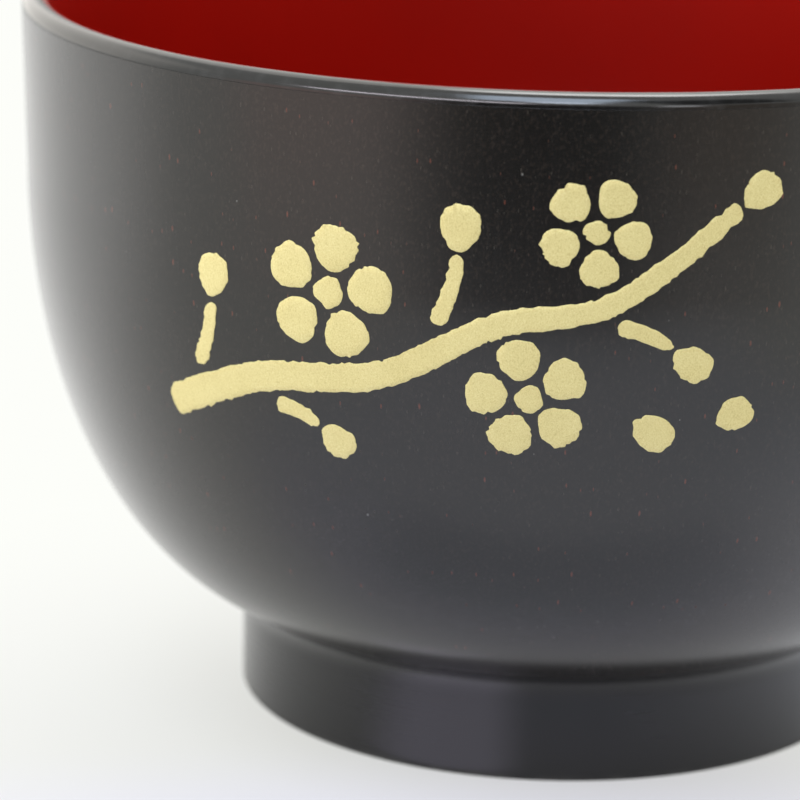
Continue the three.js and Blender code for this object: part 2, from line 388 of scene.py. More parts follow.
# Refraction of the gloss lacquers, of the red one, and of the plain finishes
GLOSS_IOR = 1.62
RED_IOR = 1.30
PLAIN_IOR = 1.5

# The red's edge on the lip, in metres: how far it wanders and frays, its inset from the crest, and its blur
EDGE_WANDER = 0.0011
EDGE_FRAY = 0.00012
EDGE_INSET = 0.0017
EDGE_BLUR = 0.00003
# Stretches along X over which that edge moves outwards, and how far it moves, in metres
EDGE_SHIFTS = (
    (-0.036, -0.022, 0.0004),
    (-0.050, -0.041, 0.0008),
)
# Where the lip's black laps over the red, in metres: insets from the crest, and the stretch along X
LAP_INSETS = (0.00050, 0.00044)
LAP_STRETCH = (-0.040, -0.046)

# Share of the lip's thickness, down from the top, within which the core is black
RUN_IN = 0.8
# Height of the rubbed band of the foot against the rounding of its standing edge
WEAR_HEIGHT = 2.6


def wall_lacquer(finish, form):
    """Satin black lacquer with a warm drift, upright hairlines, fine specks and a little dust."""
    work = Lacquer("wall_lacquer")
    drift = work.noise(38.0)
    hairlines = work.noise(3200.0, vector=work.stretched((1.0, 1.0, 0.025)))
    grain = work.noise(9000.0, detail=1.0)
    colour = work.mix(work.ramp(drift, 0.3, 0.75), finish.wall, finish.wall_warm)
    fine = work.noise(4600.0, vector=work.stretched((1.0, 1.0, 0.6)))
    colour = work.mix(work.ramp(fine, 0.50, 0.68), colour, finish.wall_grain)
    flat = work.unrolled(form.rim_radius, upright=0.38)
    faint, _ = work.specks(flat, scale=1500.0, size=0.070, keep=0.5)
    colour = work.mix(faint * 0.5, colour, finish.pale_speck)
    speck, lot = work.specks(flat, scale=800.0, size=0.058, keep=0.45)
    speck_colour = work.mix(work.ramp(lot, 0.2, 0.8), finish.pale_speck, finish.red_speck)
    colour = work.mix(speck * lot, colour, speck_colour)
    dust, _ = work.specks(work.unrolled(form.rim_radius, upright=0.8), scale=75.0, size=0.0062, keep=0.55)
    colour = work.mix(dust, colour, finish.dust)
    roughness = 0.21 + drift * 0.03 + hairlines * 0.05 + grain * 0.02
    height = work.noise(650.0) * 1.2e-6 + hairlines * 0.5e-6 + dust * 1.5e-5
    return work.finish(colour, roughness, work.bump(height), IOR=GLOSS_IOR)


def lip_lacquer(finish, form):
    """Gloss black lacquer with a polishing haze, and the red's wandering edge sprayed over its top."""
    work = Lacquer("lip_lacquer")
    haze = work.noise(900.0, detail=3.0)
    ripple = work.noise(240.0, vector=work.stretched((1.0, 1.0, 2.0)))
    colour = work.mix(work.ramp(haze, 0.45, 0.8), finish.lip, finish.lip_haze)
    wander = work.noise(48.0, detail=3.0) * EDGE_WANDER + work.noise(900.0) * EDGE_FRAY
    for start, end, shift in EDGE_SHIFTS:
        wander += work.ramp(work.along("X"), start, end) * shift
    inner = form.rim_radius - form.lip_thickness / 2 - EDGE_INSET
    spray = work.ramp(work.from_axis() - wander, inner + EDGE_BLUR, inner - EDGE_BLUR)
    colour = work.mix(spray, colour, finish.overspray)
    roughness = 0.10 + haze * 0.08 + spray * 0.75
    height = ripple * 2.2e-6 + haze * 0.5e-6
    return work.finish(colour, roughness, work.bump(height), IOR=GLOSS_IOR)


def red_lacquer(finish, form):
    """Red lacquer with a slow drift, fine grain and dark specks, and the lip's black over its edge."""
    work = Lacquer("red_lacquer")
    drift = work.noise(30.0)
    grain = work.noise(5200.0)
    hairlines = work.noise(2600.0, vector=work.stretched((1.0, 1.0, 0.03)))
    colour = work.mix(work.ramp(drift, 0.28, 0.72), finish.red, finish.red_deep)
    speck, _ = work.specks(work.unrolled(form.rim_radius, upright=0.5), scale=260.0, size=0.045, keep=0.3)
    colour = work.mix(speck * 0.55, colour, finish.red_deep)
    crest = form.rim_radius - form.lip_thickness / 2
    lap = work.ramp(work.from_axis(), *(crest - inset for inset in LAP_INSETS))
    lap *= work.ramp(work.along("X"), *LAP_STRETCH)
    colour = work.mix(lap, colour, finish.lip)
    roughness = 0.26 + drift * 0.05 + hairlines * 0.04 + grain * 0.02
    height = work.noise(600.0) * 1.2e-6 + grain * 0.3e-6
    return work.finish(colour, roughness, work.bump(height), IOR=RED_IOR)


def foot_lacquer(finish, form):
    """Black lacquer of the foot, turned in fine lines and rubbed along the standing edge."""
    work = Lacquer("foot_lacquer")
    drift = work.noise(55.0)
    turning = work.noise(2600.0, vector=work.stretched((0.02, 0.02, 1.0)))
    patchy = work.noise(420.0, detail=4.0)
    low = work.ramp(work.along("Z"), form.foot_edge * WEAR_HEIGHT, 0.0)
    wear = low * work.ramp(patchy, 0.42, 0.62)
    colour = work.mix(wear, finish.foot, finish.foot_wear)
    roughness = 0.25 + drift * 0.03 + turning * 0.03 + wear * 0.25
    height = turning * 0.1e-6 + work.noise(700.0) * 1.0e-6 + wear * 4.0e-6
    return work.finish(colour, roughness, work.bump(height), IOR=PLAIN_IOR)


def base_lacquer(finish):
    """Black lacquer of the underside, with the rings that its turning left."""
    work = Lacquer("base_lacquer")
    rings = work.nodes.add(
        "ShaderNodeTexNoise", {"noise_dimensions": "1D"}, {"W": work.from_axis(), "Scale": 2400.0}
    )
    drift = work.noise(60.0, detail=3.0)
    colour = work.mix(work.ramp(drift, 0.3, 0.7), finish.foot, finish.wall_warm)
    roughness = 0.30 + rings * 0.10 + drift * 0.04
    height = rings * 1.6e-6 + work.noise(520.0, detail=3.0) * 2.0e-6
    return work.finish(colour, roughness, work.bump(height), IOR=GLOSS_IOR)


def core_resin(finish, form):
    """Resin filled with wood flour: brown with pale flecks, and black where lacquer ran in under the lip."""
    work = Lacquer("core_resin")
    fleck = work.noise(2400.0, detail=4.0)
    cloud = work.noise(140.0, detail=3.0)
    colour = work.mix(work.ramp(fleck, 0.42, 0.68), finish.core, finish.core_fleck)
    full = form.height - form.lip_thickness * RUN_IN
    run_in = work.ramp(work.along("Z"), form.height - form.lip_thickness, full)
    colour = work.mix(run_in, colour, finish.lip_haze)
    roughness = 0.66 + fleck * 0.14 + cloud * 0.06
    return work.finish(colour, roughness, work.bump(fleck * 1.2e-5), IOR=PLAIN_IOR)


def gilt_leaf(finish):
    """Matte pale gilding: fine upright grain, bright and dull flakes, and soft clouds of tone."""
    work = Lacquer("gilt_leaf")
    grain = work.noise(12500.0, vector=work.stretched((1.0, 1.0, 0.6)))
    flakes = work.noise(5800.0)
    cloud = work.noise(330.0, detail=3.0)
    tone = grain * 0.60 + flakes * 0.25 + cloud * 0.15
    colour = work.mix(work.ramp(tone, 0.36, 0.50), finish.gilt_deep, finish.gilt)
    colour = work.mix(work.ramp(tone, 0.50, 0.68), colour, finish.gilt_pale)
    roughness = 0.50 + grain * 0.14 + cloud * 0.06
    height = grain * 7.0e-6 + flakes * 5.0e-6
    return work.finish(colour, roughness, work.bump(height), Metallic=0.2, IOR=PLAIN_IOR)


class Section:
    """The bowl's section, worked out from its form: radii, heights and the lines of its walls."""

    def __init__(self, form):
        self.form = form
        self.lip_radius = form.lip_thickness / 2
        self.lip_z = form.height - self.lip_radius
        self.shoulder_z = form.height - form.straight_wall
        self.draft = math.tan(form.wall_draft)
        self.shoulder = form.rim_radius - (self.lip_z - self.shoulder_z) * self.draft
        self.belly_depth = self.shoulder_z - form.foot_height + form.belly_sink
        self.seam_angle = math.asin((self.shoulder_z - form.foot_height) / self.belly_depth)
        cove_reach = form.foot_cove * (1 - math.cos(form.cove_turn))
        seam_radius = form.foot_radius + cove_reach + form.foot_setback
        self.belly_width = (self.shoulder - seam_radius) / (1 - math.cos(self.seam_angle))
        self.floor_z = form.base_level + form.floor_thickness
        self.hollow_width = self.shoulder - form.lip_thickness - form.floor_flat
        self.hollow_depth = self.shoulder_z - self.floor_z
        self.coat_back = form.coat - form.bond

    def wall_at(self, z):
        """Radius and slope of the outside wall at a height."""
        if z >= self.shoulder_z:
            return self.shoulder + (z - self.shoulder_z) * self.draft, self.draft
        t = math.asin(min(1.0, (self.shoulder_z - z) / self.belly_depth))
        radius = self.shoulder - self.belly_width * (1 - math.cos(t))
        return radius, self.belly_width * math.tan(t) / self.belly_depth

    def outer_line(self, depth):
        """The outside wall from the foot's seam up to the lip, at a depth under its surface."""
        steps = self.form.wall_steps
        points = []
        for i in range(steps, -1, -1):
            z = self.shoulder_z - self.belly_depth * math.sin(self.seam_angle * i / steps)
            radius, slope = self.wall_at(z)
            points.append((radius - depth * math.hypot(1, slope), z))
        points.append((self.form.rim_radius - depth, self.lip_z))
        return points

    def inner_line(self, depth):
        """The inside wall from the lip down to the middle of the floor, at a depth under its surface."""
        steps = self.form.wall_steps
        points = [(self.form.rim_radius - self.form.lip_thickness + depth, self.lip_z)]
        for i in range(steps + 1):
            t = math.pi / 2 * i / steps
            out = self.hollow_depth * math.cos(t)
            down = self.hollow_width * math.sin(t)
            reach = math.hypot(out, down)
            radius = self.form.floor_flat + self.hollow_width * math.cos(t) + depth * out / reach
            points.append((radius, self.shoulder_z - self.hollow_depth * math.sin(t) - depth * down / reach))
        points.append((0.0, self.floor_z - depth))
        return points

    def cove_line(self):
        """The hollow sweep from the foot's side out to the seam."""
        form = self.form
        start = form.foot_height - form.seat_gap - form.foot_cove * math.sin(form.cove_turn)
        points = []
        for i in range(form.cove_steps + 1):
            angle = form.cove_turn * i / form.cove_steps
            radius = form.foot_radius + form.foot_cove * (1 - math.cos(angle))
            points.append((radius, start + form.foot_cove * math.sin(angle)))
        return points

    def lip_line(self, depth, start, end):
        """Part of the round lip between two angles from straight out, at a depth under its surface."""
        steps = self.form.lip_steps
        middle = self.form.rim_radius - self.lip_radius
        reach = self.lip_radius - depth
        points = []
        for i in range(steps + 1):
            angle = start + (end - start) * i / steps
            points.append((middle + reach * math.cos(angle), self.lip_z + reach * math.sin(angle)))
        return points


# Steps round an eased corner
EASE_STEPS = 5
# Share of a side that the easing of one of its corners can take up
HALF_RUN = 0.48
# How much further from its corner than the easing the held point stands
HOLD = 1.7
# A corner that turns less than this stays as it is, and is shaded smooth
SHARP_TURN = math.radians(35)


def eased(outline, radii):
    """A closed outline with its sharp corners rounded, apart from corners on the axis.

    A point on each side of a rounded corner keeps the shading of the straight runs flat.
    """
    points = []
    total = len(outline)
    for i, (corner, radius) in enumerate(zip(outline, radii)):
        here = Vector(corner)
        back = Vector(outline[i - 1]) - here
        on = Vector(outline[(i + 1) % total]) - here
        on_axis = here.x == 0.0
        if on_axis or math.pi - back.angle(on) < SHARP_TURN:
            points.append(here)
            continue
        room = HALF_RUN * min(back.length, on.length)
        reach = min(radius / math.tan(back.angle(on) / 2), room)
        held = min(reach * HOLD, HALF_RUN * back.length), min(reach * HOLD, HALF_RUN * on.length)
        back.normalize()
        on.normalize()
        if held[0] > reach:
            points.append(here + back * held[0])
        for k in range(EASE_STEPS + 1):
            t = k / EASE_STEPS
            points.append(here + back * (reach * (1 - t) ** 2) + on * (reach * t ** 2))
        if held[1] > reach:
            points.append(here + on * held[1])
    return [(point.x, point.y) for point in points]


def evenly_eased(outline, radius):
    """A closed outline with all its sharp corners rounded alike."""
    return eased(outline, [radius] * len(outline))


def new_piece(name, vertices, faces, material, slot, *nodes):
    """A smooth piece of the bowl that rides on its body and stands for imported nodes."""
    mesh = bpy.data.meshes.new(name)
    mesh.from_pydata(vertices, [], faces)
    mesh.validate()
    mesh.polygons.foreach_set("use_smooth", [True] * len(mesh.polygons))
    mesh.set_sharp_from_angle(angle=SHARP_TURN)
    mesh.materials.append(material)
    piece = bpy.data.objects.new(name, mesh)
    bpy.context.scene.collection.objects.link(piece)
    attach(piece, BODY)
    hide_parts(*nodes)


def bands(rows):
    """Faces between each closed row of points and the next, less the corners that fall together."""
    faces = []
    for row, following in zip(rows, rows[1:]):
        for i in range(len(row)):
            after = (i + 1) % len(row)
            face = list(dict.fromkeys((row[i], row[after], following[after], following[i])))
            if len(face) > 2:
                faces.append(face)
    return faces


def signed_area(points):
    """Area inside a closed outline, above zero if it runs anticlockwise."""
    following = points[1:] + points[:1]
    return sum(a[0] * b[1] - b[0] * a[1] for a, b in zip(points, following)) / 2


def turned(outline, segments):
    """Vertices and faces of a body turned about Z from a closed outline of radii and heights."""
    if signed_area(outline) < 0:
        outline = outline[::-1]
    vertices = []
    rings = []
    for radius, z in outline:
        first = len(vertices)
        if radius == 0.0:
            vertices.append((0.0, 0.0, z))
            rings.append([first] * segments)
            continue
        for k in range(segments):
            angle = 2 * math.pi * k / segments
            vertices.append((radius * math.cos(angle), radius * math.sin(angle), z))
        rings.append(list(range(first, first + segments)))
    return vertices, bands(rings + rings[:1])


class SOUPBOWL_OT_core(bpy.types.Operator):
    """Build the moulded core, which shows only in the line under the lip"""

    bl_idname = "soup_bowl.core"
    bl_label = "Core"

    def execute(self, context):
        form = context.scene.bowl_form
        section = Section(form)
        outline = [
            (0.0, form.base_level + form.coat),
            (form.base_radius, form.base_level + form.coat),
            (form.base_radius, form.foot_height),
            *section.outer_line(form.coat),
            *section.lip_line(form.coat, 0.0, math.pi)[1:-1],
            *section.inner_line(form.coat),
        ]
        material = core_resin(context.scene.bowl_finish, form)
        new_piece("core_body", *turned(outline, form.segments), material, "core", "bowl_core")
        return {"FINISHED"}


class SOUPBOWL_OT_outer_coat(bpy.types.Operator):
    """Build the satin black coat of the outside"""

    bl_idname = "soup_bowl.outer_coat"
    bl_label = "Outer Coat"

    def execute(self, context):
        form = context.scene.bowl_form
        section = Section(form)
        outline = section.outer_line(0.0) + section.outer_line(section.coat_back)[::-1]
        material = wall_lacquer(context.scene.bowl_finish, form)
        body = turned(evenly_eased(outline, form.coat_edge), form.segments)
        new_piece("outer_coat", *body, material, "satin_black", "outer_lacquer")
        return {"FINISHED"}


class SOUPBOWL_OT_lip_coat(bpy.types.Operator):
    """Build the gloss black coat over the lip"""

    bl_idname = "soup_bowl.lip_coat"
    bl_label = "Lip Coat"

    def execute(self, context):
        form = context.scene.bowl_form
        section = Section(form)
        start = math.asin(form.groove / section.lip_radius)
        front = section.lip_line(0.0, start, form.red_edge)
        back = section.lip_line(section.coat_back, start, form.red_edge)
        body = turned(evenly_eased(front + back[::-1], form.coat_edge), form.segments)
        material = lip_lacquer(context.scene.bowl_finish, form)
        new_piece("lip_coat", *body, material, "gloss_black", "rim_lacquer")
        return {"FINISHED"}


class SOUPBOWL_OT_inner_coat(bpy.types.Operator):
    """Build the red coat of the inside"""

    bl_idname = "soup_bowl.inner_coat"
    bl_label = "Inner Coat"

    def execute(self, context):
        form = context.scene.bowl_form
        section = Section(form)
        start = form.red_edge + form.bond / section.lip_radius
        back = section.coat_back
        outline = [
            *section.inner_line(back)[::-1],
            *section.lip_line(back, start, math.pi)[::-1][1:],
            *section.lip_line(0.0, start, math.pi),
            *section.inner_line(0.0)[1:],
        ]
        material = red_lacquer(context.scene.bowl_finish, form)
        body = turned(evenly_eased(outline, form.coat_edge), form.segments)
        new_piece("inner_coat", *body, material, "red", "inner_lacquer")
        return {"FINISHED"}


class SOUPBOWL_OT_foot(bpy.types.Operator):
    """Build the foot ring and the coat of the underside within it"""

    bl_idname = "soup_bowl.foot"
    bl_label = "Foot"

    def execute(self, context):
        form = context.scene.bowl_form
        finish = context.scene.bowl_finish
        section = Section(form)
        bore = form.foot_radius - form.foot_wall
        cove = section.cove_line()
        corners = [(bore, 0.0), (form.foot_radius, 0.0), *cove, (bore, cove[-1][1])]
        radii = [form.foot_edge] * 2 + [form.seam_edge] * (len(cove) + 1)
        ring = turned(eased(corners, radii), form.segments)
        new_piece("foot_body", *ring, foot_lacquer(finish, form), "foot_black", "foot_ring")
        under = [
            (0.0, form.base_level),
            (form.base_radius, form.base_level),
            (form.base_radius, form.base_level + section.coat_back),
            (0.0, form.base_level + section.coat_back),
        ]
        disc = turned(evenly_eased(under, form.coat_edge), form.segments)
        new_piece("base_coat", *disc, base_lacquer(finish), "satin_black", "base_lacquer")
        return {"FINISHED"}


def leftward(direction):
    """A direction of the spray turned a quarter to the left."""
    return Vector((-direction.y, direction.x))


def pointing(angle):
    """The direction of the spray at an angle from level."""
    return Vector((math.cos(angle), math.sin(angle)))


def branch_point(share):
    """A point of the branch: a smooth curve through its route."""
    last = len(BRANCH_ROUTE) - 1
    step = min(int(share * last), last - 1)
    t = share * last - step
    near = [Vector(BRANCH_ROUTE[min(max(step + k, 0), last)]) for k in (-1, 0, 1, 2)]
    start_slope = (near[2] - near[0]) / 2
    end_slope = (near[3] - near[1]) / 2
    return (
        near[1] * (2 * t ** 3 - 3 * t ** 2 + 1)
        + start_slope * (t ** 3 - 2 * t ** 2 + t)
        + near[2] * (3 * t ** 2 - 2 * t ** 3)
        + end_slope * (t ** 3 - t ** 2)
    )


SLOPE_STEP = 1e-4


def heading_of(curve, share):
    """The direction of a curve at a share of it."""
    ahead = curve(min(1.0, share + SLOPE_STEP))
    behind = curve(max(0.0, share - SLOPE_STEP))
    return (ahead - behind).normalized()


def bowed(start, middle, end):
    """A curve from start to end that leans towards middle."""

    def point(t):
        return start * (1 - t) ** 2 + middle * (2 * t * (1 - t)) + end * t ** 2

    return point


class Gilder:
    """Lays patches of gilding on the wall, each one as a piece with a worn edge."""

    # Shares of the way from a patch's spine to its edge at which the gilding has a row of points
    ROWS = (0.62, 0.0)
    # How often a corner of the worn edge is a spike, and how much deeper a spike is
    SPIKE_CHANCE = 0.25
    SPIKE_DEPTH = 1.9
    # Shortest and longest chip against the usual one
    CHIP_RANGE = (0.35, 1.65)
    # Share of the bevel's width at which its upper row of points lies
    BEVEL_INSET = 0.9
    # Digits to which two places are compared
    SAME_DIGITS = 8
    # Steps that a stroke's length is measured in, and the fewest steps of a stroke and of a petal
    MEASURE_STEPS = 64
    STROKE_STEPS = 12
    PETAL_STEPS = 24

    def __init__(self, context):
        self.section = Section(context.scene.bowl_form)
        self.form = context.scene.spray_form
        self.material = bpy.data.materials.get("gilt_leaf") or gilt_leaf(context.scene.bowl_finish)

    def on_wall(self, place, lift):
        """The point at a place of the spray, lifted off the wall."""
        z = self.section.form.height - self.form.drop + place.y
        radius, slope = self.section.wall_at(z)
        reach = radius + lift * math.hypot(1, slope)
        angle = place.x / radius
        return (reach * math.sin(angle), -reach * math.cos(angle), z)

    def corners(self, reach, dice):
        """The corners along an edge of this length: how far along each one is, and its depth."""
        places = []
        walked = 0.0
        while walked < reach:
            spike = self.SPIKE_DEPTH if dice.random() < self.SPIKE_CHANCE else 1.0
            places.append((walked, dice.triangular(-1, 1, 0) * spike * self.form.chip_depth))
            walked += dice.uniform(*self.CHIP_RANGE) * self.form.chip_length
        return places + [(reach, places[0][1])]

    def worn(self, edge, name):
        """A closed edge that wanders in and out in short straight chips of uneven length."""
        dice = random.Random(name)
        total = len(edge)
        sides = [(edge[(i + 1) % total] - edge[i]).length for i in range(total)]
        corners = self.corners(sum(sides), dice)
        chip = 0
        walked = 0.0
        worn_edge = []
        for i in range(total):
            while chip < len(corners) - 2 and walked > corners[chip + 1][0]:
                chip += 1
            (start, start_depth), (end, end_depth) = corners[chip:chip + 2]
            part = (walked - start) / (end - start)
            depth = start_depth * (1 - part) + end_depth * part
            depth += dice.uniform(-1, 1) * self.form.fray
            tangent = edge[(i + 1) % total] - edge[i - 1]
            worn_edge.append(edge[i] - leftward(tangent.normalized()) * depth)
            walked += sides[i]
        return worn_edge

    def lay(self, node, edge, spine):
        """Makes the patch of a node from its anticlockwise edge and the spine point of each edge point."""
        edge = self.worn(edge, node)
        total = len(edge)
        low = self.form.film_gap
        high = low + self.form.film
        vertices = []
        known = {}

        def vertex(place, lift):
            key = (round(place.x, self.SAME_DIGITS), round(place.y, self.SAME_DIGITS), lift)
            if key not in known:
                known[key] = len(vertices)
                vertices.append(self.on_wall(place, lift))
            return known[key]

        def row(share, lift):
            return [vertex(spine[i].lerp(edge[i], share), lift) for i in range(total)]

        def inset(lift):
            places = []
            for i in range(total):
                span = max((edge[i] - spine[i]).length, self.form.bevel)
                share = self.form.bevel / span * self.BEVEL_INSET
                places.append(vertex(edge[i].lerp(spine[i], share), lift))
            return places

        rows = [row(0.0, low), row(1.0, low), row(1.0, (low + high) / 2), inset(high)]
        rows += [row(share, high) for share in self.ROWS]
        new_piece(f"{node}_leaf", vertices, bands(rows), self.material, "gilt", node)

    def stroke(self, node, curve, start_width, end_width):
        """A brush stroke along a curve, with rounded ends."""
        rough = [curve(i / self.MEASURE_STEPS) for i in range(self.MEASURE_STEPS + 1)]
        reach = sum((b - a).length for a, b in zip(rough, rough[1:]))
        steps = max(self.STROKE_STEPS, round(reach / self.form.edge_step))
        left, right, middle = [], [], []
        for i in range(steps + 1):
            t = (1 - math.cos(math.pi * i / steps)) / 2
            half = (start_width * (1 - t) + end_width * t) / 2
            to_end = min(t, 1 - t) * reach
            if to_end < half:
                half *= math.sqrt(max(0.0, 1 - (1 - to_end / half) ** 2))
            out = leftward(heading_of(curve, t)) * half
            middle.append(curve(t))
            left.append(curve(t) + out)
            right.append(curve(t) - out)
        edge = right + left[-2:0:-1]
        spine = middle + middle[-2:0:-1]
        self.lay(node, edge, spine)

    def petal(self, node, centre, direction, half_length, half_width):
        """A round patch, a little broader at its outer end."""
        steps = max(self.PETAL_STEPS, round(math.tau * half_length / self.form.edge_step))
        edge = []
        for i in range(steps):
            angle = math.tau * i / steps
            along = math.cos(angle)
            across = math.sin(angle) * (1 + self.form.petal_taper * along)
            aside = leftward(direction) * (half_width * across)
            edge.append(centre + direction * (half_length * along) + aside)
        self.lay(node, edge, [centre] * steps)

    def bud(self, node, end, direction, half):
        """A bud just past the end of what carries it."""
        half_length = half * self.form.bud_length
        self.petal(node, end + direction * (self.form.bridge + half_length), direction, half_length, half)

    def seat(self, share, side):
        """The point beside the branch where a blossom or a twig is seated, and the directions there."""
        along = heading_of(branch_point, share)
        out = leftward(along) * side
        half = (self.form.branch_root * (1 - share) + self.form.branch_tip * share) / 2
        return branch_point(share) + out * (half + self.form.bridge), along, out


class SOUPBOWL_OT_gilt_branch(bpy.types.Operator):
    """Lay the gilt branch with its twigs and buds"""

    bl_idname = "soup_bowl.gilt_branch"
    bl_label = "Gilt Branch"

    def execute(self, context):
        form = context.scene.spray_form
        gilder = Gilder(context)
        gilder.stroke("gilt_branch", branch_point, form.branch_root, form.branch_tip)
        gilder.bud("gilt_bud_tip", branch_point(1.0), heading_of(branch_point, 1.0), form.tip_bud)
        for number, (share, side, lean, reach, bud_half) in enumerate(TWIGS, 1):
            point, along, out = gilder.seat(share, side)
            lean = math.radians(lean)
            direction = pointing(math.atan2(along.y, along.x) + side * lean)
            start = point + out * (form.twig_root / 2 * math.cos(lean))
            end = start + direction * reach
            middle = (start + end) / 2 - leftward(direction) * (side * form.twig_bend)
            curve = bowed(start, middle, end)
            gilder.stroke(f"gilt_twig_{number}", curve, form.twig_root, form.twig_tip)
            gilder.bud(f"gilt_bud_{number}", end, heading_of(curve, 1.0), bud_half)
        return {"FINISHED"}


class SOUPBOWL_OT_gilt_blossoms(bpy.types.Operator):
    """Lay the gilt blossoms and the fallen petals"""

    bl_idname = "soup_bowl.gilt_blossoms"
    bl_label = "Gilt Blossoms"

    def execute(self, context):
        form = context.scene.spray_form
        gilder = Gilder(context)
        share_of_ring = math.sin(math.pi / PETALS)
        for number, (share, side, radius, blossom_turn) in enumerate(BLOSSOMS, 1):
            point, _, out = gilder.seat(share, side)
            centre = point + out * radius
            half = (radius * share_of_ring - form.bridge / 2) / (1 + share_of_ring)
            reach = radius - half
            for k in range(PETALS):
                direction = pointing(math.radians(blossom_turn) + math.tau * k / PETALS)
                name = f"gilt_blossom_{number}_petal_{k + 1}"
                gilder.petal(name, centre + direction * reach, direction, half, half)
            heart = reach - half - form.bridge
            gilder.petal(f"gilt_blossom_{number}_heart", centre, pointing(0.0), heart, heart)
        for number, (place, petal_turn, half) in enumerate(FALLEN_PETALS, 1):
            direction = pointing(math.radians(petal_turn))
            half_length = half * form.bud_length
            gilder.petal(f"gilt_fallen_petal_{number}", Vector(place), direction, half_length, half)
        return {"FINISHED"}


# From the middle of the floor to its edges
FLOOR_REACH = 4.0
# The way to the floor's front, where a cool blue shade is painted, and where along it the painted shade
# begins and is full, in metres
FRONT_RIGHT = 0.36
FRONT_FORWARD = 0.95
FRONT_START = 0.016
FRONT_FULL = 0.052
# White fibre in the floor, and how much of it shows at most
FIBRE = (1.0, 1.0, 1.0)
FIBRE_SHARE = 0.03
# The point that the soft boxes face
LIGHT_AIM = Vector((0.0, 0.0, 0.04))
# Nearest and furthest that the camera sees, in metres
CAMERA_SIGHT = (0.01, 20.0)


class SoftBox(NamedTuple):
    """A soft box before it is turned to the camera's heading."""

    name: str
    size: tuple
    place: tuple
    colour: tuple
    # Name of the stage's amount that sets its radiance
    light: str


SOFT_BOXES = (
    SoftBox("top_box", (0.24, 0.30), (-0.18, -0.25, 0.54), (0.82, 0.91, 1.0), "top_light"),
    SoftBox("left_box", (1.00, 0.46), (-0.52, 0.22, 0.23), (1.0, 0.985, 0.96), "left_light"),
    SoftBox("right_box", (0.50, 0.40), (0.62, -0.10, 0.26), (1.0, 0.99, 0.98), "right_light"),
    SoftBox("back_box", (0.90, 0.34), (0.05, 0.66, 0.38), (1.0, 0.98, 0.93), "back_light"),
)


class Card(NamedTuple):
    """A card, or a window, that only reflections see, before it is turned to the camera's heading."""

    name: str
    place: tuple
    turn: float
    tilt: float
    size: tuple
    radiance: float
    colour: tuple
    # Widths of the soft edges: left, right, lower and upper
    soft: tuple


CARDS = (
    Card("dark_room", (-0.035, -0.178, 0.059), 0, 90, (0.220, 0.118),
         0.03, (1, 0.93, 0.78), (0.10, 0.06, 0.014, 0.012)),
    Card("dim_side", (0.115, -0.187, 0.075), 12, 90, (0.170, 0.15),
         0.40, (1, 0.83, 0.68), (0.03, 0.08, 0.020, 0.02)),
    Card("bright_gap", (0.0499, -0.1596, 0.1076), 21, 72, (0.026, 0.034),
         3.2, (0.97, 0.97, 1), (0.006, 0.006, 0.006, 0.006)),
    Card("warm_wall", (-0.184, -0.214, 0.060), -52, 90, (0.300, 0.12),
         1.3, (1, 0.77, 0.71), (0.06, 0.06, 0.01, 0.03)),
    Card("left_bounce", (-0.25, 0.19, 0.0006), 0, 0, (0.50, 0.50),
         1.68, (1, 1, 0.98), (0.09, 0.08, 0.11, 0.09)),
    Card("right_bounce", (0.1775, 0.10, 0.0006), 0, 0, (0.345, 0.40),
         1.88, (0.88, 0.905, 1), (0.07, 0.06, 0.09, 0.06)),
    Card("front_bounce", (0.0, -0.13, 0.0004), 0, 0, (0.22, 0.18),
         1.05, (0.90, 0.925, 1), (0.05, 0.05, 0.06, 0.035)),
    Card("near_shade", (0.0, -0.056, 0.0005), 0, 0, (0.085, 0.030),
         0.80, (0.85, 0.89, 1), (0.02, 0.02, 0.010, 0.008)),
    Card("foot_gleam", (-0.0139, -0.0313, 0.0042), -21, 112.5, (0.0234, 0.0090),
         1.65, (0.88, 0.85, 1), (0.0105, 0.0062, 0.0003, 0.0010)),
    Card("left_wall", (-0.633, 0.443, 0.277), -125, 75, (1.60, 0.94),
         2.0, (1, 0.97, 0.91), (0.20, 0.60, 0.10, 0.25)),
    Card("back_wall", (0.0, 0.72, 0.79), 180, 45, (1.50, 1.30),
         2.1, (1, 0.98, 0.93), (0.30, 0.30, 0.60, 0.12)),
    Card("window_behind", (0.055, 0.260, 0.695), 170, 27, (0.36, 0.38),
         8.0, (1, 1, 0.98), (0.10, 0.10, 0.16, 0.05)),
    Card("window_sky", (-0.049, -0.379, 0.579), -10, 33, (0.30, 0.42),
         6.8, (0.72, 0.84, 1), (0.05, 0.05, 0.03, 0.05)),
    Card("window_sill", (-0.316, -0.4885, 0.310), -35, 67, (0.52, 0.075),
         9.5, (0.99, 0.92, 1), (0.06, 0.02, 0.01, 0.01)),
    Card("window_edge", (-0.025, -0.534, 0.422), -3, 54, (0.17, 0.10),
         11.5, (0.76, 0.86, 1), (0.05, 0.05, 0.01, 0.01)),
    Card("dim_ceiling", (0.268, -0.440, 0.547), 38, 47, (0.34, 0.51),
         0.10, (1, 0.98, 0.96), (0.06, 0.06, 0.06, 0.14)),
)


def seen_rays(nodes):
    """One for the rays that see the backdrop itself, and zero for the light that it sheds."""
    camera_ray = nodes.add("ShaderNodeLightPath", output="Is Camera Ray")
    glossy_ray = nodes.add("ShaderNodeLightPath", output="Is Glossy Ray")
    clear_ray = nodes.add("ShaderNodeLightPath", output="Is Transmission Ray")
    rays = camera_ray + glossy_ray + clear_ray
    return nodes.add("ShaderNodeMath", {"operation": "MINIMUM"}, {0: rays, 1: 1.0})


